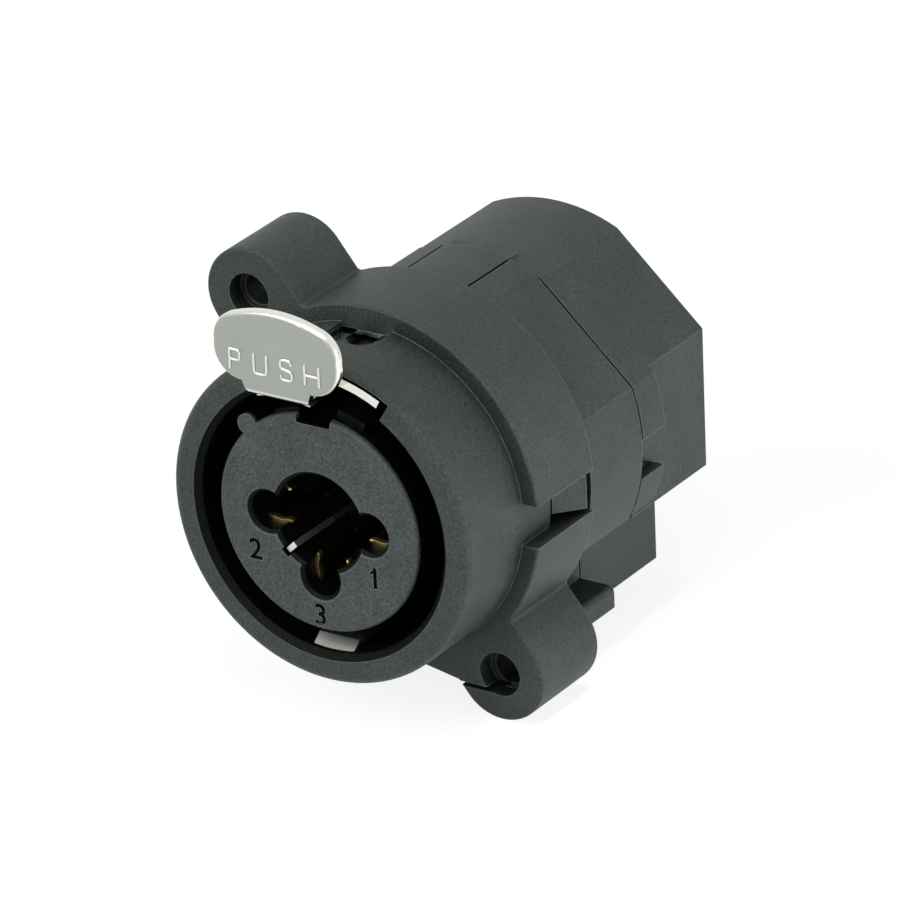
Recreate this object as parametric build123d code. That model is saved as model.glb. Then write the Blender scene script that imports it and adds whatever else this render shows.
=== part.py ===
from build123d import *
import math
import os

# Panel socket that takes a three-pin microphone plug round the outside and a 6.35 mm jack plug
# in the middle. Sizes are in millimetres. The socket's axis is Y and its open face looks
# along -Y, +X is to the right of someone facing it, and +Z is up. Depths are Y values
# counted from the front plane of the fixing flange, radii are counted from the axis.

os.makedirs("parts", exist_ok=True)

# Nose, the round barrel that stands through the panel
plug_bore_r = 9.65
bore_lead = 0.45
nose_wall = 2.2
nose_length = 6.8
nose_round = 0.7
plug_depth = 15.8

# Clearances and walls that come back in many places
fit = 0.1
wall = 1.3
slot_fit = 0.15

# Flange and its two screw ears, whose centres stand in from the flange's sides and top
flange_step = 1.25
flange_depth = 7.0
flange_round = 0.2
ear_inset_x = 3.6
ear_inset_z = 1.1
ear_r = 3.4
ear_blend = 0.35
screw_r = 1.6
screw_core_r = 1.2
screw_step = 1.4
web_start = 3.3
web_drop = 0.25
web_side = 2.6
ear_split = 0.3

# Insert with the jack hole and the three pin holes
plug_gap = 1.75
insert_stand = 0.15
insert_edge = 0.35
pin_circle_r = 4.04
pin_hole_r = 1.4
pin_lip = 1.5
jack_hole_r = 3.47
jack_mouth = 0.3
base_step = 0.35
base_thick = 2.5
key_half_width = 1.3
key_deep = 0.75
key_rake = 0.35
rail_right_high = 0.65
rail_left_high = 0.2
rail_start_angle = 64.0
rail_end_angle = 79.0
rail_length = 11.0
lug_angle = 132.0
lug_r = 0.75

# Body behind the flange
seam_cover = 2.1
seam_gap = 0.2
seam_deep = 0.5
body_top_step = 0.9
body_flat_angle = 47.0
body_side_step = 0.25
underside = 5.6
block_half_width = 7.4
block_drop = 0.55
foot_half_width = 10.2
foot_top = 11.0
foot_step = 0.5
foot_round = 0.5

# Rear housing
rear_length = 10.2
rear_wall = 1.5
rear_room = 0.3
rear_top_step = 0.2
pad_depth = 3.0
pad_gap_top = 0.47
pad_gap_bottom = 2.5
pocket_length = 4.35
pocket_top = 0.92
pocket_point = 3.2
pocket_bottom = 3.6
pocket_cut = 0.9
rear_round = 0.25
tip_hole_r = 2.9
tongue_half_width = 2.55
tongue_reach = 5.5
tongue_lift = 0.6
tongue_groove = 0.22

# Clip arms of the rear housing and the windows that they snap into
rim_notch_top = 1.14
rim_notch_bottom = 1.93
window_front = 3.4
arm_gap = 0.5
arm_thick = 0.7
arm_top = 0.9
arm_bottom = 1.05
hook_front = 3.65
hook_back = 6.4
hook_step = 1.0
hook_spread = 0.5

# Contact chambers and the pin contacts
chamber_r = 1.65
sleeve_r = 1.55
sleeve_bore_r = 1.2
sleeve_length = 9.5
sleeve_split = 4.4
jack_clear_r = 3.3
blade_thick = 0.4
blade_width = 1.6
tag_reach = 4.2
tag_hole_r = 0.5

# Jack contacts, all in a plane through the axis
carrier_low = 8.0
carrier_front_skin = 0.8
tip_touch_behind = 9.5
tip_touch_r = 2.6
ring_touch_behind = 3.5
ring_touch_r = 2.9
sleeve_edge_r = 2.95
sleeve_edge_deep = 0.85
sleeve_edge_length = 7.95
spring_outer_r = 6.6
switch_inner_r = 4.6
spring_step = 1.0
corner_gap = 0.33
switch_ramp = 2.0
tip_angle = 90.0
ring_angle = 45.0
sleeve_angle = -135.0

# Ground contact in the floor of the plug bore
ground_half_width = 1.6
ground_start = 0.9
ground_sink = 0.4
ground_rise = 0.75
ground_thick = 0.35
ground_bend = 1.0
ground_flat_behind = 5.8
ground_ramp = 5.0

# Release latch, one steel stamping; the tab's heights count from its bottom
latch_thick = 0.6
latch_travel = 2.0
tab_stand = 4.17
tab_thick = 0.65
tab_round = 0.32
tab_half_width = 4.93
tab_drop = 0.3
tab_foot_half = 2.3
tab_waist_half = 2.65
tab_waist = 0.95
tab_shoulder_half = 4.3
tab_shoulder = 1.6
tab_side = 3.52
tab_cheek_half = 4.5
tab_cheek = 5.05
tab_brow_half = 3.4
tab_brow = 5.77
tab_top = 6.37
tab_bend = 0.9
neck_half_angle = 11.5
wing_half_angle = 27.5
wing_length = 4.0
wing_front_gap = 0.3
slot_half_angle = 31.5
slot_over = 0.7
tail_half_width = 1.9
hook_start = 1.6
hook_sink = 0.7
hook_depth = 4.2
hook_flat = 0.6
hook_drop = 0.5
lip_down = 0.55
lip_up = 0.95
lip_half_width = 1.1
latch_fit = 0.25
hole_half_width = 1.05
hole_front = 1.75
hole_corner = 0.7

# Window in the top of the nose over the latch
eye_half_width = 2.05
eye_front = 3.4
eye_corner = 1.2

# Return spring of the latch
spring_r = 0.72
spring_wire = 0.22
spring_turns = 6
spring_lift = 0.2
spring_room = 4.5

# Sizes that follow from the ones above
nose_r = plug_bore_r + nose_wall
flange_r = nose_r + flange_step
insert_r = plug_bore_r - plug_gap
base_r = plug_bore_r + base_step
chamber_clear_r = base_r + fit
body_top_r = flange_r - body_top_step
body_side_r = flange_r - body_side_step
body_flat_distance = chamber_clear_r + wall
block_bottom = flange_r + block_drop
foot_bottom = flange_r - foot_step
rear_half_width = chamber_clear_r + wall + rear_room
rear_top_r = body_top_r - rear_top_step
arm_inner = chamber_clear_r + arm_gap
arm_outer = arm_inner + arm_thick
hook_reach = nose_r + hook_step
ear_x = flange_r - ear_inset_x
ear_z = flange_r - ear_inset_z
ear_distance = math.hypot(ear_x, ear_z)
ear_angle = math.degrees(math.atan2(ear_z, -ear_x))
insert_front = -nose_length - insert_stand
base_front = plug_depth - nose_length
base_back = base_front + base_thick
seam_depth = base_back + seam_cover
rear_depth = seam_depth + rear_length
inner_back = rear_depth - rear_wall
tag_end = rear_depth + tag_reach
ring_touch_depth = base_back + ring_touch_behind
tip_touch_depth = base_back + tip_touch_behind
sleeve_edge_end = insert_front + sleeve_edge_length
switch_outer_r = spring_outer_r + spring_step
sleeve_corner_r = (block_half_width - wall) / math.cos(math.radians(sleeve_angle + 180))
sleeve_switch_r = sleeve_corner_r - (blade_width + blade_thick) / 2 - corner_gap
ground_front = nose_length - ground_start
ground_depth = plug_bore_r + ground_sink
latch_arc_r = (plug_bore_r + nose_r) / 2
slot_outer_r = latch_arc_r + slot_over
tab_front = nose_length + tab_stand
tab_bottom = latch_arc_r - tab_drop
hook_low = plug_bore_r - hook_sink
lip_low = latch_arc_r - lip_down
lip_high = latch_arc_r + lip_up
tail_end = seam_depth - spring_room
tongue_under = latch_arc_r + tongue_lift
spring_level = latch_arc_r + spring_lift


def layer(profile, front, back):
    """A front-view profile carried from one depth to another."""
    return extrude(Plane.XZ.offset(-back) * profile, back - front)


def block(left, right, low, high, front, back):
    """A box from its six limits."""
    size = (right - left, back - front, high - low)
    return Pos((left + right) / 2, (front + back) / 2, (low + high) / 2) * Box(*size)


def window(left, right, low, high):
    """A rectangle in the front view from its four limits."""
    return Pos((left + right) / 2, (low + high) / 2) * Rectangle(right - left, high - low)


def polar(radius, angle):
    """The x and z of a point from its radius and angle."""
    return (radius * math.cos(math.radians(angle)), radius * math.sin(math.radians(angle)))


def sector(inner, outer, start, end, front, back):
    """An arc-shaped bar about the axis between two angles."""
    reach = 2 * outer
    wedge = make_face(Polyline((0, 0), polar(reach, start), polar(reach, end), close=True))
    return layer((Circle(outer) - Circle(inner)) & wedge, front, back)


def over_top(inner, outer, half_angle, front, back):
    """An arc-shaped bar centred over the top of the axis."""
    return sector(inner, outer, 90 - half_angle, 90 + half_angle, front, back)


def radial_plane(angle):
    """The plane through the axis at an angle, with depth along its x and radius along its y."""
    turn = math.radians(angle)
    return Plane((0, 0, 0), x_dir=(0, 1, 0), z_dir=(math.sin(turn), 0, -math.cos(turn)))


def on_plane(angle, face, width):
    """A face drawn in depth and radius, given a width across its plane."""
    return extrude(radial_plane(angle) * face, width / 2, both=True)


def depth_radius(front, back, inner, outer):
    """A rectangle drawn in depth and radius."""
    return Pos((front + back) / 2, (inner + outer) / 2) * Rectangle(back - front, outer - inner)


def blade(angle, points, width, thick=blade_thick):
    """A flat strip bent along points of depth and radius."""
    return on_plane(angle, trace(Polyline(*points), thick), width)


def slot(angle, front, back, inner, outer, width):
    """A straight-sided slot in the plane through the axis at an angle."""
    return on_plane(angle, depth_radius(front, back, inner, outer), width)


def blade_slot(angle, radius, front, back, width=blade_width, thick=blade_thick):
    """The slot that a straight strip passes through, with its clearance."""
    half = thick / 2 + slot_fit
    return slot(angle, front, back, radius - half, radius + half, width + 2 * slot_fit)


def flat_tag_hole(angle, radius):
    """The wire hole near the end of a solder tag that lies square to the radius."""
    place = radial_plane(angle) * Pos(tag_end - 2.5 * tag_hole_r, radius, 0) * Rot(90, 0, 0)
    return place * Cylinder(tag_hole_r, 4 * blade_thick)


def both_sides(solid):
    """A solid with its mirror image across the middle plane."""
    return solid + mirror(solid, Plane.YZ)


def write(solid, name):
    """One solid, written under its node's name."""
    export_step(solid, "parts/" + name + ".step")


def ear_outline():
    """One ear as seen from the front: a round end that runs straight into the flange."""
    root = math.sqrt((flange_r - ear_blend) ** 2 - ear_r**2)
    bar = window(root, ear_distance, -ear_r, ear_r)
    return bar + Pos(ear_distance, 0) * Circle(ear_r)


def flange_outline():
    """The flange ring with both ears, the corners between them blended."""
    outline = Circle(flange_r) + Rot(0, 0, ear_angle) * ear_outline()
    outline += Rot(0, 0, ear_angle + 180) * ear_outline()
    inside = outline.vertices().filter_by(lambda v: abs(math.hypot(v.X, v.Y) - flange_r) < 0.01)
    outline = fillet(inside, ear_blend)
    drop = math.sqrt(flange_r**2 - web_start**2)
    foot = (ear_x - web_side, -flange_r - web_drop)
    ear_centre = Vector(ear_x, -ear_z)
    inward = ear_centre * ((flange_r - ear_blend * 2) / ear_distance)
    web = make_face(Polyline((web_start, -drop), foot, ear_centre, inward, close=True))
    return outline + web


def half_plane(angle, distance):
    """Everything in the front view inside a line that is square to an angle."""
    reach = 8 * flange_r
    return Rot(0, 0, angle) * Pos(distance - reach / 2, 0) * Rectangle(reach, reach)


def body_outline(top_r, sides):
    """The section behind the flange: round top, two flats, the sides and the lower block."""
    outline = sides & half_plane(body_flat_angle, body_flat_distance)
    outline &= half_plane(180 - body_flat_angle, body_flat_distance)
    flat_middle = body_flat_distance * math.sin(math.radians(body_flat_angle))
    outline &= Circle(top_r) + half_plane(90, flat_middle)
    outline &= half_plane(-90, underside)
    return outline + window(-block_half_width, block_half_width, -block_bottom, -underside + wall)


def rear_outline():
    """The rear housing's section, with flat upright sides."""
    sides = window(-rear_half_width, rear_half_width, -underside, rear_top_r)
    return body_outline(rear_top_r, sides)


def nose_shape():
    """The barrel through the panel with its rounded front edge."""
    nose = layer(Circle(nose_r), -nose_length, flange_depth)
    return fillet(nose.edges().group_by(Axis.Y)[0], nose_round)


def bore_shape():
    """The plug's bore with its lead-in, and the wider chamber for the insert's base."""
    front = -nose_length
    corners = [(0, front), (plug_bore_r + bore_lead, front), (plug_bore_r, front + bore_lead)]
    corners += [(plug_bore_r, base_front), (0, base_front)]
    bore = revolve(make_face(Polyline(*corners, close=True)), Axis.Y)
    return bore + layer(Circle(chamber_clear_r), base_front, seam_depth)


def ear_holes():
    """Stepped screw holes through both ears."""
    holes = []
    for side in (1, -1):
        place = Pos(-side * ear_x, side * ear_z)
        holes.append(layer(place * Circle(screw_r), 0, screw_step))
        holes.append(layer(place * Circle(screw_core_r), screw_step, flange_depth))
    return holes


def ear_slit():
    """The fine slit from the lower ear's side into its hole."""
    level = -ear_z - screw_r * 0.85
    left = ear_x - ear_r - 1
    return block(left, ear_x, level - ear_split / 2, level + ear_split / 2, 0, flange_depth)


def clip_window():
    """Rim notch, window and channel for the right clip arm."""
    notch = window(nose_r * 0.8, flange_r + 1, -rim_notch_bottom, rim_notch_top)
    cut = layer((Circle(flange_r + 1) - Circle(nose_r)) & notch, 0, flange_depth)
    inner = arm_inner - fit / 2
    cut += block(inner, flange_r + 1, -rim_notch_bottom, rim_notch_top, window_front, flange_depth)
    low = -arm_bottom - 2 * fit
    high = arm_top + 2 * fit
    return cut + block(inner, arm_outer + fit, low, high, window_front, seam_depth)


def latch_room():
    """The arc slot for the latch's wings, the channel for its tail and the hook's opening."""
    back = -nose_length + wing_front_gap + wing_length + latch_travel + latch_fit
    room = over_top(plug_bore_r - 1, slot_outer_r, slot_half_angle, -nose_length - 1, back)
    side = tail_half_width + latch_fit
    low = latch_arc_r - latch_thick / 2 - latch_fit
    high = latch_arc_r + latch_thick / 2 + latch_fit
    lip_back = tail_end + latch_travel + latch_fit
    room += block(-side, side, low, high, back - 1, lip_back - latch_fit)
    hook_back = hook_depth + hook_flat + hook_drop + latch_travel + 2 * latch_fit
    room += block(-side, side, plug_bore_r - 1, low + 1, hook_start - latch_thick, hook_back)
    lip_side = lip_half_width + latch_fit
    lip_front = tail_end - latch_thick - latch_fit
    lip_room = (lip_low - latch_fit / 2, lip_high + 2 * fit)
    return room + block(-lip_side, lip_side, *lip_room, lip_front, seam_depth)


def eye_cut():
    """The opening in the nose's top that shows the latch."""
    outline = window(-eye_half_width, eye_half_width, -eye_front, 0)
    outline = fillet(outline.vertices().group_by(Axis.Y)[0], eye_corner)
    return Pos(0, 0, latch_arc_r) * extrude(outline, nose_r + fit - latch_arc_r)


def tongue_room():
    """The slot in the front housing's top for the rear housing's tongue."""
    side = tongue_half_width + tongue_groove
    front = seam_depth - tongue_reach - tongue_groove
    return block(-side, side, tongue_under - fit / 2, flange_r, front, seam_depth)


def ground_recess(front, back):
    """The recess in the bore's floor for the ground contact."""
    side = ground_half_width + slot_fit
    low = ground_depth + ground_thick / 2 + fit / 2
    return block(-side, side, -low, -plug_bore_r + 1, front, back)


def front_housing():
    """Nose, flange with ears, and the front part of the body, moulded in one."""
    flange = layer(flange_outline(), 0, flange_depth)
    flange = fillet(flange.edges().group_by(Axis.Y)[0], flange_round)
    solid = flange + nose_shape()
    solid += layer(body_outline(body_top_r, Circle(body_side_r)), flange_depth, seam_depth)
    solid += layer(Circle(chamber_clear_r + wall), flange_depth, seam_depth)
    foot = block(0, foot_half_width, -foot_bottom, -foot_top, flange_depth, seam_depth)
    top_edge = foot.edges().filter_by(Axis.Y).group_by(Axis.Z)[-1].sort_by(Axis.X)[-1]
    solid += both_sides(fillet(top_edge, foot_round))
    solid -= bore_shape()
    solid -= ear_holes()
    solid -= ear_slit()
    solid -= both_sides(clip_window())
    solid -= latch_room()
    solid -= eye_cut()
    solid -= tongue_room()
    solid -= ground_recess(-ground_front - fit, seam_depth)
    return solid


def side_pads():
    """The round pads that carry the front housing's side on to the rear housing's right side."""
    ring = Circle(body_side_r) & half_plane(body_flat_angle, body_flat_distance)
    inner = rear_half_width - fit
    upper = ring & window(inner, body_side_r, pad_gap_top, body_side_r)
    lower = ring & window(inner, body_side_r, -underside, -pad_gap_bottom)
    return layer(upper + lower, seam_depth + seam_gap, seam_depth + pad_depth)


def side_pocket():
    """The dark wedge-shaped pocket between the pads on the right side."""
    back = seam_depth + pocket_length
    corners = [(seam_depth, -pocket_top), (back, -pocket_point)]
    corners += [(back, -pocket_bottom), (seam_depth, -pocket_bottom)]
    face = make_face(Polyline(*corners, close=True))
    deep = rear_half_width - pocket_cut
    return Pos(deep, 0, 0) * extrude(Plane.YZ * face, body_side_r)


def clip_arm():
    """The right clip arm with its wedge-shaped hook head."""
    low = -arm_bottom
    arm = block(arm_inner, arm_outer, low, arm_top, hook_back - fit, seam_depth + wall)
    side = Polyline((hook_front, low), (hook_back, low - hook_spread), (hook_back, arm_top),
                    (hook_front, arm_top), close=True)
    head = Pos(arm_inner, 0, 0) * extrude(Plane.YZ * make_face(side), hook_reach - arm_inner)
    top = Polyline((0, hook_front), (nose_r, hook_front), (hook_reach, hook_back), (0, hook_back),
                   close=True)
    wedge = Pos(0, 0, -flange_r) * extrude(make_face(top), 2 * flange_r)
    return arm + (head & wedge)


def tongue():
    """The tongue that covers the latch's spring, with a groove under it for the coil."""
    front = seam_depth - tongue_reach
    section = Circle(body_top_r) & window(-tongue_half_width, tongue_half_width, tongue_under, flange_r)
    side = lip_half_width + latch_fit
    groove = block(-side, side, tongue_under, lip_high + 2 * fit, front, seam_depth)
    seat = block(-side, side, chamber_clear_r + fit, tongue_under + fit, seam_depth, seam_depth + wall)
    root = window(-tongue_half_width, tongue_half_width, tongue_under, rear_top_r - fit)
    bridge = layer(section, seam_depth, seam_depth + seam_gap)
    bridge += layer(section & root, seam_depth, seam_depth + wall)
    return layer(section, front, seam_depth) - groove + bridge + seat


def straight_tails():
    """Angle and radius of every flat tail that leaves through the rear wall."""
    pin_tail_r = pin_circle_r + sleeve_r - blade_thick / 2
    pins = [(0, pin_tail_r), (180, pin_tail_r), (-90, pin_tail_r)]
    tip = [(tip_angle, spring_outer_r), (tip_angle, switch_inner_r)]
    ring = [(ring_angle, spring_outer_r), (ring_angle, switch_outer_r)]
    return pins + tip + ring + [(sleeve_angle, sleeve_switch_r)]


def rear_housing():
    """The cover behind the seam, open to the front, with tongue, clip arms and tail slots."""
    outline = rear_outline()
    solid = layer(outline, seam_depth, rear_depth)
    solid = fillet(solid.edges().group_by(Axis.Y)[-1], rear_round)
    solid -= layer(offset(outline, -wall), seam_depth, inner_back)
    edge = layer(outline, seam_depth, seam_depth + seam_gap)
    solid -= edge - layer(offset(outline, -seam_deep), seam_depth, seam_depth + seam_gap)
    solid -= both_sides(side_pocket())
    solid += both_sides(side_pads())
    solid += both_sides(clip_arm())
    solid += tongue()
    solid -= layer(Circle(tip_hole_r), inner_back, rear_depth)
    for angle, radius in straight_tails():
        solid -= blade_slot(angle, radius, inner_back, rear_depth)
    solid -= blade_slot(-90, ground_depth, inner_back, rear_depth, 2 * ground_half_width, ground_thick)
    edge_top = sleeve_edge_r + 3 * sleeve_edge_deep
    solid -= slot(sleeve_angle, inner_back, rear_depth, edge_top - sleeve_edge_deep - slot_fit,
                  edge_top + slot_fit, blade_thick + 2 * slot_fit)
    return solid


def pin_places():
    """Angles of the three pins as seen from the front: one right, two left, three below."""
    return {"1": 0.0, "2": 180.0, "3": -90.0}


def contact_insert():
    """The round insert that both plugs enter, on the base that the front housing holds."""
    solid = layer(Circle(insert_r), insert_front, base_front)
    solid = fillet(solid.edges().group_by(Axis.Y)[0], insert_edge)
    solid += layer(Circle(base_r), base_front, base_back)
    rail_back = insert_front + rail_length
    rail_front = insert_front + 2 * insert_edge
    rail_top = insert_r + rail_right_high
    solid += sector(insert_r - 1, rail_top, rail_start_angle, rail_end_angle, rail_front, rail_back)
    left_start = 180 - rail_end_angle
    left_end = 180 - rail_start_angle
    solid += sector(insert_r - 1, insert_r + rail_left_high, left_start, left_end, rail_front, rail_back)
    lug = Pos(*polar(insert_r + lug_r / 3, lug_angle)) * Circle(lug_r)
    solid += layer(lug, insert_front + insert_edge / 2, rail_back)
    flare = key_half_width + key_rake
    top = insert_r + 1
    floor = insert_r - key_deep
    key = [(-key_half_width, floor), (key_half_width, floor), (flare, top), (-flare, top)]
    solid -= layer(make_face(Polyline(*key, close=True)), insert_front, rail_back)
    mouth = Circle(jack_hole_r)
    for angle in pin_places().values():
        mouth += Pos(*polar(pin_circle_r, angle)) * Circle(pin_hole_r)
    solid -= layer(mouth, insert_front, insert_front + pin_lip)
    rim = solid.edges().group_by(Axis.Y)[0].filter_by(lambda e: e.center().Y < insert_front + 0.01)
    inner_rim = [e for e in rim if max(math.hypot(v.X, v.Z) for v in e.vertices()) < insert_r - key_deep]
    solid = chamfer(inner_rim, jack_mouth)
    solid -= layer(Circle(jack_hole_r), insert_front, base_back)
    for angle in pin_places().values():
        place = Pos(*polar(pin_circle_r, angle))
        solid -= layer(place * Circle(chamber_r), insert_front + pin_lip, base_back)
        outer = pin_circle_r + sleeve_r + slot_fit
        width = blade_width + 2 * slot_fit
        solid -= slot(angle, -slot_fit, base_back, pin_circle_r, outer, width)
    narrow = blade_thick + 2 * slot_fit
    edge_deep = sleeve_edge_r + sleeve_edge_deep + slot_fit
    tail_deep = sleeve_edge_r + 3 * sleeve_edge_deep + slot_fit
    solid -= slot(sleeve_angle, insert_front, sleeve_edge_end, jack_hole_r - 1, edge_deep, narrow)
    tail_front = sleeve_edge_end - sleeve_edge_deep - slot_fit
    solid -= slot(sleeve_angle, tail_front, base_back, jack_hole_r - 1, tail_deep, narrow)
    solid -= ground_recess(base_front, base_back)
    return solid


def carrier_outline():
    """The jack block's section inside the rear housing."""
    outline = Circle(base_r) & half_plane(-90, underside - wall - fit)
    side = block_half_width - wall - fit
    return outline + window(-side, side, -carrier_low, 0)


def jack_carrier():
    """The block behind the insert that holds the jack's springs round its tunnel."""
    back = inner_back - fit
    solid = layer(Circle(base_r), base_back, seam_depth) + layer(carrier_outline(), seam_depth, back)
    solid -= layer(Circle(jack_clear_r + fit), base_back, back)
    pocket_front = base_back + carrier_front_skin
    for angle, radius in straight_tails():
        start = base_back if angle in pin_places().values() else pocket_front
        solid -= blade_slot(angle, radius, start, back)
    width = blade_width + 2 * slot_fit
    deep = switch_outer_r + blade_thick / 2 + slot_fit
    tip_deep = spring_outer_r + blade_thick / 2 + slot_fit
    solid -= slot(tip_angle, pocket_front, back, 0, tip_deep, width)
    solid -= slot(ring_angle, pocket_front, back, 0, deep, width)
    narrow = blade_thick + 2 * slot_fit
    tail_deep = sleeve_edge_r + 3 * sleeve_edge_deep + slot_fit
    solid -= slot(sleeve_angle, base_back, back, 0, tail_deep, narrow)
    sleeve_deep = sleeve_switch_r + blade_thick / 2 + slot_fit
    solid -= slot(sleeve_angle, pocket_front, back, tail_deep - slot_fit, sleeve_deep, width)
    solid -= ground_recess(base_back, back)
    return solid


def pin_contact(angle):
    """A pin socket: a sleeve forked at its front, with a flat tail that ends in a solder tag."""
    place = Pos(*polar(pin_circle_r, angle))
    front = insert_front + pin_lip + fit
    sleeve = layer(place * (Circle(sleeve_r) - Circle(sleeve_bore_r)), front, front + sleeve_length)
    radius = pin_circle_r + sleeve_r - blade_thick / 2
    tail = slot(angle, 0, tag_end, radius - blade_thick / 2, radius + blade_thick / 2, blade_width)
    solid = sleeve + tail - layer(place * Circle(sleeve_bore_r), front, front + sleeve_length)
    solid -= layer(Circle(jack_clear_r), front, tag_end)
    fork = slot(angle, front, front + sleeve_split, pin_circle_r - sleeve_r, pin_circle_r + 2 * sleeve_r,
                2 * (sleeve_bore_r - fit))
    return solid - fork - flat_tag_hole(angle, radius)


def tip_contact():
    """The long spring that bears on the jack plug's tip, folded at its front end."""
    front = base_back + carrier_front_skin + blade_thick
    points = [(tag_end, spring_outer_r), (front, spring_outer_r), (front, spring_outer_r - 1)]
    points += [(tip_touch_depth, tip_touch_r + blade_thick / 2)]
    points += [(inner_back - 2 * fit - blade_thick, tip_touch_r + 3 * blade_thick / 2)]
    return blade(tip_angle, points, blade_width) - flat_tag_hole(tip_angle, spring_outer_r)


def tip_switch():
    """The short straight contact above the tip spring's end."""
    points = [(tip_touch_depth - 1, switch_inner_r), (tag_end, switch_inner_r)]
    return blade(tip_angle, points, blade_width) - flat_tag_hole(tip_angle, switch_inner_r)


def ring_contact():
    """The spring that bears on the jack plug's ring, with its free end to the front."""
    points = [(tag_end, spring_outer_r), (inner_back - 1, spring_outer_r)]
    points += [(ring_touch_depth, ring_touch_r + blade_thick / 2)]
    points += [(ring_touch_depth - 1, ring_touch_r + 2 * blade_thick)]
    return blade(ring_angle, points, blade_width) - flat_tag_hole(ring_angle, spring_outer_r)


def ring_switch():
    """The contact folded over the ring spring's free end."""
    front = base_back + carrier_front_skin + blade_thick
    points = [(tag_end, switch_outer_r), (front, switch_outer_r), (front, switch_inner_r)]
    points += [(ring_touch_depth - 0.5, switch_inner_r)]
    return blade(ring_angle, points, blade_width) - flat_tag_hole(ring_angle, switch_outer_r)


def sleeve_contact():
    """The stamping that stands on edge beside the tunnel and bears on the jack plug's sleeve."""
    front = insert_front + jack_mouth
    inner = sleeve_edge_r
    tail_in = inner + 2 * sleeve_edge_deep
    tail_out = inner + 3 * sleeve_edge_deep
    face = depth_radius(front, sleeve_edge_end, inner, inner + sleeve_edge_deep)
    face += depth_radius(sleeve_edge_end - sleeve_edge_deep, sleeve_edge_end, inner, tail_out)
    face += depth_radius(sleeve_edge_end - sleeve_edge_deep, tag_end, tail_in, tail_out)
    hole = Pos(tag_end - 2.5 * tag_hole_r, (tail_in + tail_out) / 2) * Circle(sleeve_edge_deep / 4)
    return on_plane(sleeve_angle, face - hole, blade_thick)


def sleeve_switch():
    """The contact that rests near the sleeve stamping's tail."""
    front = base_back + carrier_front_skin + blade_thick
    low = sleeve_edge_r + 3 * sleeve_edge_deep + slot_fit + blade_thick / 2
    points = [(tag_end, sleeve_switch_r), (front + switch_ramp, sleeve_switch_r), (front, low)]
    return blade(sleeve_angle, points, blade_width) - flat_tag_hole(sleeve_angle, sleeve_switch_r)


def ground_contact():
    """The sprung strip in the bore's floor that touches the plug's metal sleeve."""
    top = ground_depth - ground_rise
    flat_end = ground_flat_behind - nose_length
    points = [(-ground_front, ground_depth), (-ground_front + ground_bend, top), (flat_end, top)]
    points += [(flat_end + ground_ramp, ground_depth), (tag_end, ground_depth)]
    return blade(-90, points, 2 * ground_half_width, ground_thick)


def tab_outline():
    """The finger tab's lobe above its waist, from half of its curves and their mirror image."""
    waist = (tab_waist_half, tab_waist)
    side = (tab_half_width, tab_side)
    brow = (tab_brow_half, tab_brow)
    half = Line((0, tab_waist), waist)
    half += ThreePointArc(waist, (tab_shoulder_half, tab_shoulder), side)
    half += ThreePointArc(side, (tab_cheek_half, tab_cheek), brow)
    over = ThreePointArc(brow, (0, tab_top), (-tab_brow_half, tab_brow))
    return make_face(half + over + mirror(half, Plane.YZ))


def tab_foot():
    """The strip that bends from the tab's face round into the neck."""
    high = tab_waist + tab_round + fit
    profile = window(0, tab_bend, 0, high) - window(tab_thick, tab_bend, latch_thick, high)
    profile = fillet(profile.vertices().sort_by(lambda v: v.X + v.Y)[0], tab_bend - fit)
    strip = extrude(Plane.YZ * profile, tab_waist_half, both=True)
    corners = [(-tab_foot_half, 0), (tab_foot_half, 0), (tab_waist_half, tab_waist)]
    corners += [(tab_waist_half, high), (-tab_waist_half, high), (-tab_waist_half, tab_waist)]
    return strip & layer(make_face(Polyline(*corners, close=True)), -fit, tab_bend + fit)


def finger_tab():
    """The flat tab that is pressed, with its edge rounded all round and its foot bent back."""
    lobe = extrude(Plane.XZ * tab_outline(), -tab_thick)
    lobe = fillet(lobe.edges().group_by(Axis.Y)[0], tab_round)
    return Pos(0, -tab_front, tab_bottom) * (lobe + tab_foot())


def latch_hole():
    """The opening in the latch's plate under the window in the nose."""
    corner = hole_half_width - hole_corner
    points = [(corner, -hole_front), (hole_half_width, hole_corner - hole_front)]
    points += [(hole_half_width, hook_start - wall / 2), (-hole_half_width, hook_start - wall / 2)]
    points += [(-hole_half_width, hole_corner - hole_front), (-corner, -hole_front)]
    outline = make_face(Polyline(*points, close=True))
    return Pos(0, 0, latch_arc_r - latch_thick) * extrude(outline, 2 * latch_thick)


def push_latch():
    """The release latch: tab, curved neck with two wings, hook and tail, stamped in one."""
    low = latch_arc_r - latch_thick / 2
    high = latch_arc_r + latch_thick / 2
    wing_front = -nose_length + wing_front_gap
    wing_back = wing_front + wing_length
    solid = over_top(low, high, neck_half_angle, -tab_front + tab_bend - fit, wing_back)
    solid += over_top(low, high, wing_half_angle, wing_front, wing_back)
    drop_end = hook_depth + hook_flat + hook_drop
    points = [(wing_back - wing_length / 2, latch_arc_r), (hook_start, latch_arc_r), (hook_depth, hook_low)]
    points += [(hook_depth + hook_flat, hook_low), (drop_end, latch_arc_r)]
    points += [(tail_end - latch_thick / 2, latch_arc_r)]
    solid += blade(90, points, 2 * tail_half_width, latch_thick)
    solid += block(-lip_half_width, lip_half_width, lip_low, lip_high, tail_end - latch_thick, tail_end)
    return solid - latch_hole() + finger_tab()


def return_spring():
    """The coil that pushes the latch forward again."""
    length = seam_depth - tail_end - 2 * fit - spring_wire
    pitch = length / spring_turns
    start = tail_end + fit + spring_wire / 2
    path = Helix(pitch, length, spring_r, center=(0, start, spring_level), direction=(0, 1, 0))
    section = Plane(path @ 0, z_dir=path % 0) * Circle(spring_wire / 2)
    return sweep(section, path)


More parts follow.
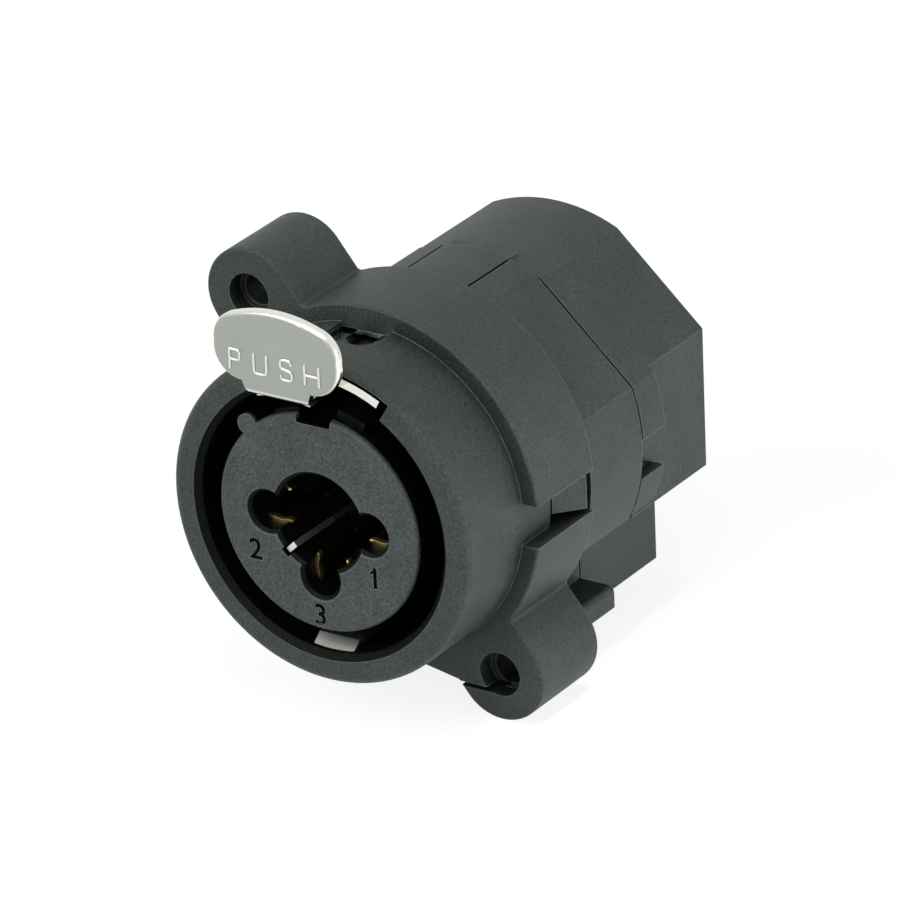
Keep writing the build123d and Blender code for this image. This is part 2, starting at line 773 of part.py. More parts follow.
write(front_housing(), "front_housing")
write(rear_housing(), "rear_housing")
write(contact_insert(), "contact_insert")
write(jack_carrier(), "jack_carrier")
write(push_latch(), "push_latch")
write(return_spring(), "latch_return_spring")
for number, place_angle in pin_places().items():
    write(pin_contact(place_angle), "xlr_contact_" + number)
write(tip_contact(), "jack_tip_contact")
write(tip_switch(), "jack_tip_switch")
write(ring_contact(), "jack_ring_contact")
write(ring_switch(), "jack_ring_switch")
write(sleeve_contact(), "jack_sleeve_contact")
write(sleeve_switch(), "jack_sleeve_switch")
write(ground_contact(), "ground_contact")
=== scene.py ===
import math

import bmesh
import bpy
from mathutils import Matrix, Vector


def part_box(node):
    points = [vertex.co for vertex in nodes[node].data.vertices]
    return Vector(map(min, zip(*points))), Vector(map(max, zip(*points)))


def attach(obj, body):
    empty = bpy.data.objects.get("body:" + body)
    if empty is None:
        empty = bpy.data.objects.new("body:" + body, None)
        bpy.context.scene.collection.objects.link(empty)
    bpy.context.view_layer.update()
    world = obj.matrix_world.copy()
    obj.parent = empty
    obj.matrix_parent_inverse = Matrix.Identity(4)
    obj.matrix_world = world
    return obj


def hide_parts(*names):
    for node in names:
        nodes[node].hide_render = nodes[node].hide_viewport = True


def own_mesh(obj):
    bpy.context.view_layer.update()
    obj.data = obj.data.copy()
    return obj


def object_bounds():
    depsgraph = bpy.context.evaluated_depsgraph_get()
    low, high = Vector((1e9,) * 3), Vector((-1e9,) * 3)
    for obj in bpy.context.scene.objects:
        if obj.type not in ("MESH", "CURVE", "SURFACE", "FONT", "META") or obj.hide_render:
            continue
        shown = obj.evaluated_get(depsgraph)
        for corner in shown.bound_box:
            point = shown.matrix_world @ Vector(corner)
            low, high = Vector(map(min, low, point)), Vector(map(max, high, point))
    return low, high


mm = 0.001
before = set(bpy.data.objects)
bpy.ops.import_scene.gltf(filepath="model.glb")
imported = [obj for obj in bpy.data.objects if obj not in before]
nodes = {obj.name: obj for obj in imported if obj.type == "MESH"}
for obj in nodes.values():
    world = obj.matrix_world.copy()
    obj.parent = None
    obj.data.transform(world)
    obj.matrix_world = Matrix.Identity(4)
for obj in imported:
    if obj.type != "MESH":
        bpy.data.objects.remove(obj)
cadLow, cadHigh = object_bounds()
print("frame loaded with", len(nodes), "nodes")

# Camera at the photograph's angle
photoCamera = {
    "azimuth": 33.661,
    "elevation": 24.513,
    "roll": -2.409,
    "distance": 0.540,
    "aim": (0.010763, -0.0068, 0.00765),
    "lens": 328.97,
    "sensor": 36,
}


def directionFrom(azimuth, elevation):
    around = math.radians(azimuth)
    up = math.radians(elevation)
    level = math.cos(up)
    return Vector((math.sin(around) * level, -math.cos(around) * level, math.sin(up)))


def placeCamera(settings):
    back = directionFrom(settings["azimuth"], settings["elevation"])
    place = Vector(settings["aim"]) + back * settings["distance"]
    turn = (-back).to_track_quat("-Z", "Y").to_matrix().to_4x4()
    tilt = Matrix.Rotation(math.radians(settings["roll"]), 4, "Z")
    lensData = bpy.data.cameras.new("photo_camera")
    lensData.lens = settings["lens"]
    lensData.sensor_width = settings["sensor"]
    camera = bpy.data.objects.new("photo_camera", lensData)
    bpy.context.scene.collection.objects.link(camera)
    camera.matrix_world = Matrix.Translation(place) @ turn @ tilt
    bpy.context.scene.camera = camera


placeCamera(photoCamera)
print("camera placed")

# Soft studio light: each softbox is turned towards the socket, and the spot at the table
lamps = {
    "top_softbox": {"azimuth": 25, "elevation": 72, "distance": 0.5, "size": 0.32, "watts": 0.82},
    "right_softbox": {"azimuth": 92, "elevation": 6, "distance": 0.5, "size": 0.26, "watts": 1.05},
    "front_fill": {"azimuth": -22, "elevation": 34, "distance": 0.55, "size": 0.36, "watts": 1.75},
}
tableBounce = {
    "place": (0.085, 0.0, 0.25),
    "cone": math.radians(27),
    "softEdge": 0.6,
    "softness": 0.03,
    "watts": 11,
}
surroundings = {
    "lightColour": (0.96, 0.98, 1.0),
    "lightStrength": 0.19,
    "seenColour": (1.0, 1.0, 1.0),
}
floorSettings = {
    "radius": 3.0,
    "sides": 96,
    "below": 0.02 * mm,
    "lit": 0.92,
    "seenLit": 0.22,
    "seenGlow": 0.87,
}


def placeLamps(settings, middle):
    for name, lamp in settings.items():
        back = directionFrom(lamp["azimuth"], lamp["elevation"])
        data = bpy.data.lights.new(name, "AREA")
        data.shape = "DISK"
        data.size = lamp["size"]
        data.energy = lamp["watts"]
        lampObject = bpy.data.objects.new(name, data)
        bpy.context.scene.collection.objects.link(lampObject)
        turn = (-back).to_track_quat("-Z", "Y").to_matrix().to_4x4()
        lampObject.matrix_world = Matrix.Translation(middle + back * lamp["distance"]) @ turn


def placeTableBounce(settings):
    # Lights only the table on the right, which throws the light up under the socket
    data = bpy.data.lights.new("table_bounce", "SPOT")
    data.energy = settings["watts"]
    data.spot_size = settings["cone"]
    data.spot_blend = settings["softEdge"]
    data.shadow_soft_size = settings["softness"]
    bounce = bpy.data.objects.new("table_bounce", data)
    bpy.context.scene.collection.objects.link(bounce)
    bounce.location = settings["place"]


def seenRayMask(tree):
    # Camera, glossy and transmission rays see the white background
    rays = tree.nodes.new("ShaderNodeLightPath")
    mask = rays.outputs["Is Camera Ray"]
    for ray in ("Is Glossy Ray", "Is Transmission Ray"):
        either = tree.nodes.new("ShaderNodeMath")
        either.operation = "MAXIMUM"
        tree.links.new(mask, either.inputs[0])
        tree.links.new(rays.outputs[ray], either.inputs[1])
        mask = either.outputs[0]
    return mask


def makeSurroundings(settings):
    world = bpy.data.worlds.new("white_studio")
    world.use_nodes = True
    tree = world.node_tree
    tree.nodes.clear()
    output = tree.nodes.new("ShaderNodeOutputWorld")
    lit = tree.nodes.new("ShaderNodeBackground")
    lit.inputs["Color"].default_value = (*settings["lightColour"], 1)
    lit.inputs["Strength"].default_value = settings["lightStrength"]
    seen = tree.nodes.new("ShaderNodeBackground")
    seen.inputs["Color"].default_value = (*settings["seenColour"], 1)
    choice = tree.nodes.new("ShaderNodeMixShader")
    tree.links.new(seenRayMask(tree), choice.inputs[0])
    tree.links.new(lit.outputs[0], choice.inputs[1])
    tree.links.new(seen.outputs[0], choice.inputs[2])
    tree.links.new(choice.outputs[0], output.inputs["Surface"])
    bpy.context.scene.world = world


def makeFloor(settings, lowest):
    material = bpy.data.materials.new("pale_floor")
    material.use_nodes = True
    tree = material.node_tree
    tree.nodes.clear()
    output = tree.nodes.new("ShaderNodeOutputMaterial")
    lit = tree.nodes.new("ShaderNodeBsdfDiffuse")
    lit.inputs["Color"].default_value = (settings["lit"],) * 3 + (1,)
    seenLit = tree.nodes.new("ShaderNodeBsdfDiffuse")
    seenLit.inputs["Color"].default_value = (settings["seenLit"],) * 3 + (1,)
    glow = tree.nodes.new("ShaderNodeEmission")
    glow.inputs["Strength"].default_value = settings["seenGlow"]
    both = tree.nodes.new("ShaderNodeAddShader")
    choice = tree.nodes.new("ShaderNodeMixShader")
    tree.links.new(seenLit.outputs[0], both.inputs[0])
    tree.links.new(glow.outputs[0], both.inputs[1])
    tree.links.new(seenRayMask(tree), choice.inputs[0])
    tree.links.new(lit.outputs[0], choice.inputs[1])
    tree.links.new(both.outputs[0], choice.inputs[2])
    tree.links.new(choice.outputs[0], output.inputs["Surface"])
    sides, radius = settings["sides"], settings["radius"]
    disc = bmesh.new()
    bmesh.ops.create_circle(disc, cap_ends=True, segments=sides, radius=radius)
    bmesh.ops.translate(disc, vec=(0, 0, lowest - settings["below"]), verts=disc.verts)
    mesh = bpy.data.meshes.new("floor")
    disc.to_mesh(mesh)
    disc.free()
    mesh.materials.append(material)
    floor = bpy.data.objects.new("floor", mesh)
    bpy.context.scene.collection.objects.link(floor)


middle = (cadLow + cadHigh) / 2
placeLamps(lamps, middle)
placeTableBounce(tableBounce)
makeSurroundings(surroundings)
makeFloor(floorSettings, cadLow.z)
bpy.context.scene.view_settings.view_transform = "Standard"
print("light and floor made")


# Shader effects that more than one finish uses
effects = {"grainDetail": 3, "grainRoughness": 0.6, "highlightPatches": 600, "driftDetail": 2}


def newGroup(name, inputs, outputs):
    group = bpy.data.node_groups.new(name, "ShaderNodeTree")
    for label, kind, value in inputs:
        made = group.interface.new_socket(name=label, in_out="INPUT", socket_type=kind)
        made.default_value = value
    for label, kind in outputs:
        group.interface.new_socket(name=label, in_out="OUTPUT", socket_type=kind)
    return group, group.nodes.new("NodeGroupInput"), group.nodes.new("NodeGroupOutput")


def math2(tree, operation, first, second):
    node = tree.nodes.new("ShaderNodeMath")
    node.operation = operation
    for socket, value in zip(node.inputs, (first, second)):
        if isinstance(value, (int, float)):
            socket.default_value = value
        else:
            tree.links.new(value, socket)
    return node.outputs[0]


def makeSurfaceGrain(settings):
    # Fine grain over softened edges
    group, given, made = newGroup(
        "surfaceGrain",
        [
            ("Grain Size", "NodeSocketFloat", 0.12 * mm),
            ("Grain Depth", "NodeSocketFloat", 0.006 * mm),
            ("Edge Radius", "NodeSocketFloat", 0.08 * mm),
        ],
        [("Normal", "NodeSocketVector"), ("Grain", "NodeSocketFloat")],
    )
    place = group.nodes.new("ShaderNodeTexCoord")
    noise = group.nodes.new("ShaderNodeTexNoise")
    noise.inputs["Detail"].default_value = settings["grainDetail"]
    noise.inputs["Roughness"].default_value = settings["grainRoughness"]
    group.links.new(place.outputs["Object"], noise.inputs["Vector"])
    group.links.new(math2(group, "DIVIDE", 1, given.outputs["Grain Size"]), noise.inputs["Scale"])
    edge = group.nodes.new("ShaderNodeBevel")
    group.links.new(given.outputs["Edge Radius"], edge.inputs["Radius"])
    bump = group.nodes.new("ShaderNodeBump")
    group.links.new(given.outputs["Grain Depth"], bump.inputs["Distance"])
    group.links.new(noise.outputs["Fac"], bump.inputs["Height"])
    group.links.new(edge.outputs["Normal"], bump.inputs["Normal"])
    group.links.new(bump.outputs["Normal"], made.inputs["Normal"])
    group.links.new(noise.outputs["Fac"], made.inputs["Grain"])
    return group


def makeEdgeHighlight(settings):
    # Painted highlight: one on the outer edges, in patches, nothing on flat faces
    group, given, made = newGroup(
        "edgeHighlight",
        [("Width", "NodeSocketFloat", 0.12 * mm), ("Strength", "NodeSocketFloat", 1.0)],
        [("Mask", "NodeSocketFloat")],
    )
    rounded = group.nodes.new("ShaderNodeBevel")
    group.links.new(given.outputs["Width"], rounded.inputs["Radius"])
    flat = group.nodes.new("ShaderNodeNewGeometry")
    compare = group.nodes.new("ShaderNodeVectorMath")
    compare.operation = "DOT_PRODUCT"
    group.links.new(rounded.outputs["Normal"], compare.inputs[0])
    group.links.new(flat.outputs["Normal"], compare.inputs[1])
    bent = math2(group, "SUBTRACT", 1, compare.outputs["Value"])
    patches = group.nodes.new("ShaderNodeTexNoise")
    patches.inputs["Scale"].default_value = settings["highlightPatches"]
    place = group.nodes.new("ShaderNodeTexCoord")
    group.links.new(place.outputs["Object"], patches.inputs["Vector"])
    uneven = math2(group, "MULTIPLY", bent, patches.outputs["Fac"])
    strong = math2(group, "MULTIPLY", uneven, given.outputs["Strength"])
    capped = math2(group, "MINIMUM", strong, 1)
    group.links.new(capped, made.inputs["Mask"])
    return group


def makeToneDrift(settings):
    # Slow, slight change of tone over a moulding or a sheet
    group, given, made = newGroup(
        "toneDrift",
        [
            ("Colour", "NodeSocketColor", (0.5, 0.5, 0.5, 1)),
            ("Patch Size", "NodeSocketFloat", 4 * mm),
            ("Amount", "NodeSocketFloat", 0.15),
        ],
        [("Colour", "NodeSocketColor")],
    )
    place = group.nodes.new("ShaderNodeTexCoord")
    noise = group.nodes.new("ShaderNodeTexNoise")
    noise.inputs["Detail"].default_value = settings["driftDetail"]
    group.links.new(place.outputs["Object"], noise.inputs["Vector"])
    group.links.new(math2(group, "DIVIDE", 1, given.outputs["Patch Size"]), noise.inputs["Scale"])
    swing = math2(group, "SUBTRACT", noise.outputs["Fac"], 0.5)
    share = math2(group, "MULTIPLY", swing, given.outputs["Amount"])
    level = math2(group, "ADD", share, 1)
    tint = group.nodes.new("ShaderNodeVectorMath")
    tint.operation = "SCALE"
    group.links.new(given.outputs["Colour"], tint.inputs[0])
    group.links.new(level, tint.inputs["Scale"])
    group.links.new(tint.outputs["Vector"], made.inputs["Colour"])
    return group


surfaceGrain = makeSurfaceGrain(effects)
edgeHighlight = makeEdgeHighlight(effects)
toneDrift = makeToneDrift(effects)


def useGroup(tree, group, **values):
    node = tree.nodes.new("ShaderNodeGroup")
    node.node_tree = group
    for label, value in values.items():
        node.inputs[label.replace("_", " ")].default_value = value
    return node


def grainFrom(tree, settings):
    return useGroup(
        tree,
        surfaceGrain,
        Grain_Size=settings["grainSize"],
        Grain_Depth=settings["grainDepth"],
        Edge_Radius=settings["edge"],
    )


def toneFrom(tree, settings, colour):
    patchSize, amount = settings["patchSize"], settings["patchTone"]
    return useGroup(tree, toneDrift, Colour=(*colour, 1), Patch_Size=patchSize, Amount=amount)


def newFinish(name):
    material = bpy.data.materials.new(name)
    material.use_nodes = True
    tree = material.node_tree
    tree.nodes.clear()
    output = tree.nodes.new("ShaderNodeOutputMaterial")
    surface = tree.nodes.new("ShaderNodeBsdfPrincipled")
    tree.links.new(surface.outputs[0], output.inputs["Surface"])
    return material, tree, surface


def spread(tree, amount, low, high):
    node = tree.nodes.new("ShaderNodeMapRange")
    tree.links.new(amount, node.inputs["Value"])
    node.inputs["To Min"].default_value = low
    node.inputs["To Max"].default_value = high
    return node.outputs["Result"]


def roughen(tree, surface, grain, low, high):
    tree.links.new(spread(tree, grain.outputs["Grain"], low, high), surface.inputs["Roughness"])
    tree.links.new(grain.outputs["Normal"], surface.inputs["Normal"])


def paintHollowShade(tree, colour, reach, samples):
    # Painted shade: darker in seams, steps and recesses, where little light comes in
    node = tree.nodes.new("ShaderNodeAmbientOcclusion")
    node.samples = samples
    node.inputs["Distance"].default_value = reach
    tree.links.new(colour, node.inputs["Color"])
    return node.outputs["Color"]


def blendColours(tree, amount, first, second):
    node = tree.nodes.new("ShaderNodeMix")
    node.data_type = "RGBA"
    tree.links.new(amount, node.inputs["Factor"])
    tree.links.new(first, node.inputs["A"])
    node.inputs["B"].default_value = (*second, 1)
    return node.outputs["Result"]


# Moulded black plastic, two grades: grained outside, with painted shade deeper in, a near-black
# colour whose reflections are taken away
anyPlastic = {
    "deepShadeColour": (0.0035, 0.0042, 0.0041),
    "deepReflectionCut": 0.85,
    "edgeHighlightColour": (0.23, 0.255, 0.245),
    "edgeHighlightStrength": 8.0,
    "shine": 0.40,
    "patchSize": 3.5 * mm,
    "patchTone": 0.9,
    "speckleTone": 3.4,
    "hollowSamples": 8,
}
plastics = {
    "housing": {
        **anyPlastic,
        "colour": (0.0225, 0.0295, 0.0275),
        "rough": (0.32, 0.72),
        "shineTint": (0.87, 1.0, 0.93),
        "grainSize": 0.19 * mm,
        "grainDepth": 0.075 * mm,
        "edge": 0.10 * mm,
        "hollow": 2.2 * mm,
        "deepShadeZones": [(10.09 * mm, -7.0 * mm, 22.9 * mm)],
    },
    "insert": {
        **anyPlastic,
        "colour": (0.0345, 0.043, 0.042),
        "rough": (0.40, 0.56),
        "shineTint": (0.92, 1.0, 1.0),
        "grainSize": 0.15 * mm,
        "grainDepth": 0.028 * mm,
        "edge": 0.09 * mm,
        "hollow": 0.8 * mm,
        "deepShadeZones": [(7.5 * mm, -6.88 * mm, 50 * mm), (20 * mm, -6.5 * mm, 50 * mm)],
    },
}


def makeDeepShadeZone():
    # Zone of painted deep shade: one within a radius about the socket's axis and between two
    # depths, nothing elsewhere
    group, given, made = newGroup(
        "deepShadeZone",
        [
            ("Radius", "NodeSocketFloat", 10 * mm),
            ("Front", "NodeSocketFloat", 0.0),
            ("Back", "NodeSocketFloat", 50 * mm),
        ],
        [("Mask", "NodeSocketFloat")],
    )
    place = group.nodes.new("ShaderNodeTexCoord")
    parts = group.nodes.new("ShaderNodeSeparateXYZ")
    group.links.new(place.outputs["Object"], parts.inputs[0])
    across = math2(group, "POWER", parts.outputs["X"], 2)
    upwards = math2(group, "POWER", parts.outputs["Z"], 2)
    radius = math2(group, "SQRT", math2(group, "ADD", across, upwards), 0)
    near = math2(group, "LESS_THAN", radius, given.outputs["Radius"])
    behind = math2(group, "GREATER_THAN", parts.outputs["Y"], given.outputs["Front"])
    before = math2(group, "LESS_THAN", parts.outputs["Y"], given.outputs["Back"])
    between = math2(group, "MULTIPLY", behind, before)
    group.links.new(math2(group, "MULTIPLY", near, between), made.inputs["Mask"])
    return group


deepShadeZone = makeDeepShadeZone()


def mouldedPlastic(name, settings):
    material, tree, surface = newFinish(name)
    grain = grainFrom(tree, settings)
    tone = toneFrom(tree, settings, settings["colour"])
    speckle = useGroup(
        tree, toneDrift, Patch_Size=settings["grainSize"], Amount=settings["speckleTone"]
    )
    tree.links.new(tone.outputs["Colour"], speckle.inputs["Colour"])
    # Painted highlight: a light colour on the edges
    edgeShine = useGroup(tree, edgeHighlight, Width=settings["edge"], Strength=settings["edgeHighlightStrength"])
    tint = speckle.outputs["Colour"]
    # Painted shade in seams, steps and recesses
    shaded = paintHollowShade(tree, tint, settings["hollow"], settings["hollowSamples"])
    colour = blendColours(tree, edgeShine.outputs["Mask"], shaded, settings["edgeHighlightColour"])
    shadeReflectionCut = 0.0
    # Painted shade: the deep zones get a near-black colour
    for radius, front, back in settings["deepShadeZones"]:
        deepShade = useGroup(tree, deepShadeZone, Radius=radius, Front=front, Back=back)
        colour = blendColours(tree, deepShade.outputs["Mask"], colour, settings["deepShadeColour"])
        deepDimmedShare = math2(tree, "MULTIPLY", deepShade.outputs["Mask"], settings["deepReflectionCut"])
        shadeReflectionCut = math2(tree, "MAXIMUM", deepDimmedShare, shadeReflectionCut)
    tree.links.new(shadeReflectionCut, surface.inputs["Metallic"])  # painted shade: metal of near-black colour takes away the reflections in the deep zones
    tree.links.new(colour, surface.inputs["Base Color"])
    roughen(tree, surface, grain, *settings["rough"])
    surface.inputs["Specular IOR Level"].default_value = settings["shine"]
    surface.inputs["Specular Tint"].default_value = (*settings["shineTint"], 1)
    return material


# Sheet nickel of the latch: satin on the pressed face, polished where it is bent, with a painted
# highlight, a lighter colour, off the flat face and on the word's tops
latchFinish = {
    "faceColour": (0.345, 0.37, 0.33),
    "bendHighlightColour": (0.74, 0.74, 0.68),
    "polished": 0.15,
    "satin": (0.30, 0.42),
    "edgeLevel": -10.84 * mm,
    "faceLevel": -10.95 * mm,
    "wordLevel": -11.00 * mm,
    "wordTop": -11.05 * mm,
    "grainSize": 0.05 * mm,
    "grainDepth": 0.0015 * mm,
    "edge": 0.05 * mm,
    "patchSize": 2 * mm,
    "patchTone": 0.10,
}


def levelMask(tree, value, start, end):
    node = tree.nodes.new("ShaderNodeMapRange")
    tree.links.new(value, node.inputs["Value"])
    node.inputs["From Min"].default_value = start
    node.inputs["From Max"].default_value = end
    return node.outputs["Result"]


def latchNickel(settings):
    material, tree, surface = newFinish("latchNickel")
    grain = grainFrom(tree, settings)
    tone = toneFrom(tree, settings, settings["faceColour"])
    place = tree.nodes.new("ShaderNodeTexCoord")
    parts = tree.nodes.new("ShaderNodeSeparateXYZ")
    tree.links.new(place.outputs["Object"], parts.inputs[0])
    face = levelMask(tree, parts.outputs["Y"], settings["edgeLevel"], settings["faceLevel"])
    word = levelMask(tree, parts.outputs["Y"], settings["wordLevel"], settings["wordTop"])
    satinShare = math2(tree, "SUBTRACT", face, word)
    bendHighlightShare = math2(tree, "SUBTRACT", 1, satinShare)
    satin = spread(tree, grain.outputs["Grain"], *settings["satin"])
    extra = math2(tree, "SUBTRACT", satin, settings["polished"])
    share = math2(tree, "MULTIPLY", extra, satinShare)
    tree.links.new(math2(tree, "ADD", share, settings["polished"]), surface.inputs["Roughness"])
    # Painted highlight: the lighter colour goes on all but the flat face
    colour = blendColours(tree, bendHighlightShare, tone.outputs["Colour"], settings["bendHighlightColour"])
    tree.links.new(colour, surface.inputs["Base Color"])
    tree.links.new(grain.outputs["Normal"], surface.inputs["Normal"])
    surface.inputs["Metallic"].default_value = 1
    return material


# Small metal parts: gold on the contacts' ends and tin, with painted shade, a dark colour, on them
# between two depths, drawn steel on the spring
anyMetal = {
    "grainDepth": 0.001 * mm,
    "edge": 0.03 * mm,
    "patchSize": 1.5 * mm,
    "patchTone": 0.2,
    "reach": 20 * mm,
}
metals = {
    "contactGold": {
        **anyMetal,
        "colour": (0.62, 0.45, 0.20),
        "inside": (0.085, 0.062, 0.032),
        "between": (-4.9 * mm, 22 * mm),
        "rough": (0.32, 0.46),
        "grainSize": 0.06 * mm,
    },
    "contactTin": {
        **anyMetal,
        "colour": (0.66, 0.66, 0.60),
        "inside": (0.30, 0.30, 0.26),
        "between": (-2.0 * mm, 22 * mm),
        "rough": (0.30, 0.46),
        "grainSize": 0.06 * mm,
    },
    "springSteel": {
        **anyMetal,
        "colour": (0.50, 0.50, 0.49),
        "inside": (0.50, 0.50, 0.49),
        "between": (0, 0),  # one colour from end to end
        "rough": (0.26, 0.40),
        "grainSize": 0.04 * mm,
    },
}


def plainMetal(name, settings):
    material, tree, surface = newFinish(name)
    grain = grainFrom(tree, settings)
    tone = toneFrom(tree, settings, settings["colour"])
    front, back = settings["between"]
    metalShadeZone = useGroup(tree, deepShadeZone, Radius=settings["reach"], Front=front, Back=back)
    share = metalShadeZone.outputs["Mask"]
    # Painted shade: the dark colour goes on the contacts between the two depths
    colour = blendColours(tree, share, tone.outputs["Colour"], settings["inside"])
    tree.links.new(colour, surface.inputs["Base Color"])
    roughen(tree, surface, grain, *settings["rough"])
    surface.inputs["Metallic"].default_value = 1
    return material


housingPlastic = mouldedPlastic("housingPlastic", plastics["housing"])
insertPlastic = mouldedPlastic("insertPlastic", plastics["insert"])
nickel = latchNickel(latchFinish)
gold = plainMetal("contactGold", metals["contactGold"])
tin = plainMetal("contactTin", metals["contactTin"])
steel = plainMetal("springSteel", metals["springSteel"])
print("finishes made")


def finishNode(name, material):
    mesh = nodes[name].data
    mesh.materials.clear()
    mesh.materials.append(material)


for name in ("front_housing", "rear_housing"):
    finishNode(name, housingPlastic)
for name in ("contact_insert", "jack_carrier"):
    finishNode(name, insertPlastic)
for name in nodes:
    if name.startswith(("xlr_contact", "jack_tip", "jack_ring", "jack_sleeve_switch")):
        finishNode(name, gold)
finishNode("jack_sleeve_contact", tin)
finishNode("push_latch", nickel)
finishNode("ground_contact", tin)
finishNode("latch_return_spring", steel)
print("CAD nodes finished")


def addPiece(mesh, name, material, body):
    mesh.materials.clear()
    mesh.materials.append(material)
    piece = bpy.data.objects.new(name, mesh)
    bpy.context.scene.collection.objects.link(piece)
    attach(piece, body)
    return piece


def meshOf(source):
    # The finished mesh of an object, which is then removed
    bpy.context.view_layer.update()
    ready = source.evaluated_get(bpy.context.evaluated_depsgraph_get())
    mesh = bpy.data.meshes.new_from_object(ready)
    bpy.data.objects.remove(source)
    return mesh


faceFront = Matrix.Rotation(math.radians(90), 4, "X")  # stands a flat drawing up, facing the front


def strokesMesh(name, strokes, settings, place):
    # Round strokes drawn one unit high, set upright at a place and facing the front
    curve = bpy.data.curves.new(name, "CURVE")
    curve.dimensions = "3D"
    curve.bevel_depth = settings["stroke"] / 2
    curve.bevel_resolution = settings["roundSteps"]
    curve.resolution_u = settings["curveSteps"]
    curve.use_fill_caps = True
    for stroke in strokes:
        spline = curve.splines.new("NURBS")
        spline.points.add(len(stroke) - 1)
        for point, (x, y) in zip(spline.points, stroke):
            point.co = (x * settings["height"], y * settings["height"], 0, 1)
        spline.order_u = min(3, len(stroke))
        spline.use_endpoint_u = True
    drawn = bpy.data.objects.new(name, curve)
    bpy.context.scene.collection.objects.link(drawn)
    mesh = meshOf(drawn)
    flatten = Matrix.Diagonal((1, 1, settings["flatten"], 1))
    mesh.transform(Matrix.Translation(place) @ faceFront @ flatten)
    return mesh


# Raised word on the tab, each letter with the place of its left stroke
pushWord = {
    "height": 1.41 * mm,
    "stroke": 0.21 * mm,
    "flatten": 0.75,
    "roundSteps": 3,
    "curveSteps": 6,
    "level": 12.245 * mm,
    "face": -10.98 * mm,
    "letters": {
        -3.58: [
            [(0, 0), (0, 1)],
            [
                (0, 1),
                (0.30, 1),
                (0.56, 0.98),
                (0.575, 0.74),
                (0.56, 0.50),
                (0.30, 0.48),
                (0, 0.48),
            ],
        ],
        -1.67: [
            [
                (0, 1),
                (0, 0.38),
                (0.02, 0.02),
                (0.36, 0),
                (0.70, 0.02),
                (0.72, 0.38),
                (0.72, 1),
            ]
        ],
        0.445: [
            [
                (0.62, 0.78),
                (0.58, 1.0),
                (0.31, 1.01),
                (0.02, 1.0),
                (0.0, 0.76),
                (0.04, 0.56),
                (0.32, 0.51),
                (0.62, 0.44),
                (0.645, 0.24),
                (0.60, 0.0),
                (0.31, -0.01),
                (0.04, 0.0),
                (0.0, 0.22),
            ]
        ],
        2.355: [[(0, 0), (0, 1)], [(0.79, 0), (0.79, 1)], [(0, 0.48), (0.79, 0.48)]],
    },
}


def makePushWord(settings):
    word = bmesh.new()
    for left, strokes in settings["letters"].items():
        place = (left * mm, settings["face"], settings["level"])
        word.from_mesh(strokesMesh("push_strokes", strokes, settings, place))
    mesh = bpy.data.meshes.new("push_word")
    word.to_mesh(mesh)
    word.free()
    addPiece(mesh, "push_word", nickel, "latch")


makePushWord(pushWord)
print("word raised on the tab")

# Insert with the three pin numbers sunk in its face
pinNumbers = {
    "height": 1.48 * mm,
    "capShare": 0.69,
    "deep": 0.2 * mm,
    "bolder": 0.045 * mm,
    "places": {"1": (4.43, -3.17), "2": (-5.12, -3.08), "3": (-0.10, -6.85)},
    "flagPlace": (4.25, -2.64),
    "flagSize": (0.50 * mm, 0.17 * mm),
    "flagTurn": math.radians(-42),
    "curveSteps": 5,
    "sharp": math.radians(32),
}


def numberCutter(digit, settings, faceLevel):
    text = bpy.data.curves.new("number_" + digit, "FONT")
    text.body = digit
    text.size = settings["height"] / settings["capShare"]
    text.align_x = "CENTER"
    text.align_y = "CENTER"
    text.offset = settings["bolder"]
    text.extrude = settings["deep"]
    text.resolution_u = settings["curveSteps"]
    cutter = bpy.data.objects.new("number_" + digit, text)
    bpy.context.scene.collection.objects.link(cutter)
    mesh = meshOf(cutter)
    x, z = settings["places"][digit]
    mesh.transform(Matrix.Translation((x * mm, faceLevel, z * mm)) @ faceFront)
    return mesh


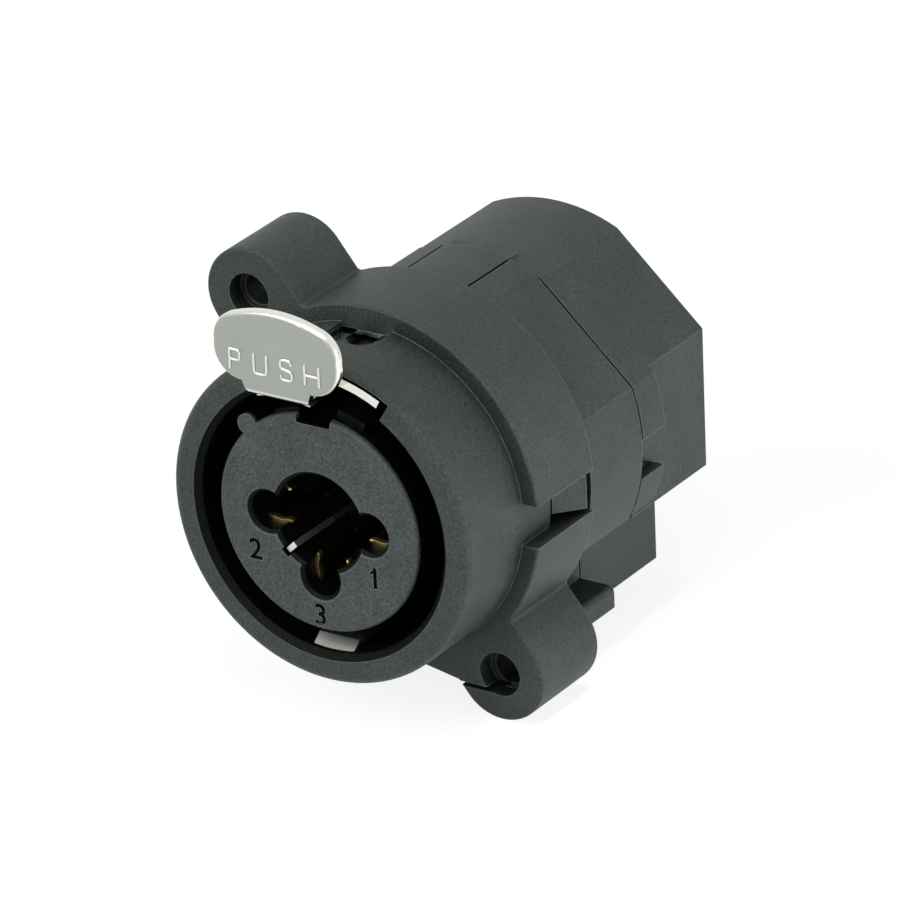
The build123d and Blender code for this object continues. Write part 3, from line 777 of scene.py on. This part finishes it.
def flagCutter(settings, faceLevel):
    # The short slanting stroke of the one
    long, wide = settings["flagSize"]
    x, z = settings["flagPlace"]
    turn = Matrix.Rotation(settings["flagTurn"], 3, "Y")
    flag = bmesh.new()
    bmesh.ops.create_cube(flag, size=1)
    bmesh.ops.scale(flag, vec=(long, 2 * settings["deep"], wide), verts=flag.verts)
    bmesh.ops.rotate(flag, cent=(0, 0, 0), matrix=turn, verts=flag.verts)
    bmesh.ops.translate(flag, vec=(x * mm, faceLevel, z * mm), verts=flag.verts)
    mesh = bpy.data.meshes.new("number_flag")
    flag.to_mesh(mesh)
    flag.free()
    return mesh


mergeWithin = 0.0005 * mm
thinnerThan = 0.0002 * mm


def tidyMesh(mesh, sharp=None):
    # Points merged, slivers taken out and, with an angle given, smooth faces between sharp edges
    work = bmesh.new()
    work.from_mesh(mesh)
    bmesh.ops.remove_doubles(work, verts=work.verts, dist=mergeWithin)
    bmesh.ops.dissolve_degenerate(work, dist=thinnerThan, edges=work.edges)
    if sharp is not None:
        for face in work.faces:
            face.smooth = True
        for edge in work.edges:
            edge.smooth = len(edge.link_faces) == 2 and edge.calc_face_angle() < sharp
    work.to_mesh(mesh)
    work.free()


def makeNumberedInsert(settings):
    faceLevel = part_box("contact_insert")[0].y
    base = nodes["contact_insert"].data.copy()
    tidyMesh(base)
    insert = bpy.data.objects.new("numbered_base", base)
    bpy.context.scene.collection.objects.link(insert)
    cutters = {digit: numberCutter(digit, settings, faceLevel) for digit in settings["places"]}
    cutters["flag"] = flagCutter(settings, faceLevel)
    for name, mesh in cutters.items():
        tidyMesh(mesh)
        cutter = bpy.data.objects.new("cut_" + name, mesh)
        bpy.context.scene.collection.objects.link(cutter)
        cut = insert.modifiers.new("cut_" + name, "BOOLEAN")
        cut.operation = "DIFFERENCE"
        cut.solver = "EXACT"
        cut.object = cutter
    mesh = meshOf(insert)
    for name in cutters:
        bpy.data.objects.remove(bpy.data.objects["cut_" + name])
    tidyMesh(mesh, sharp=settings["sharp"])
    piece = addPiece(mesh, "numbered_insert", insertPlastic, "socket")
    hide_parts("contact_insert")


makeNumberedInsert(pinNumbers)
print("pin numbers sunk in the insert")

# Return spring, a smoothed copy of the CAD spring on the socket's body
returnCoil = {"seat": 13.5 * mm, "travel": 2 * mm, "sharp": math.radians(60)}


def makeReturnCoil(settings):
    mesh = nodes["latch_return_spring"].data.copy()
    tidyMesh(mesh, sharp=settings["sharp"])
    piece = addPiece(mesh, "return_coil", steel, "socket")
    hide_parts("latch_return_spring")
    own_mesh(piece)


makeReturnCoil(returnCoil)
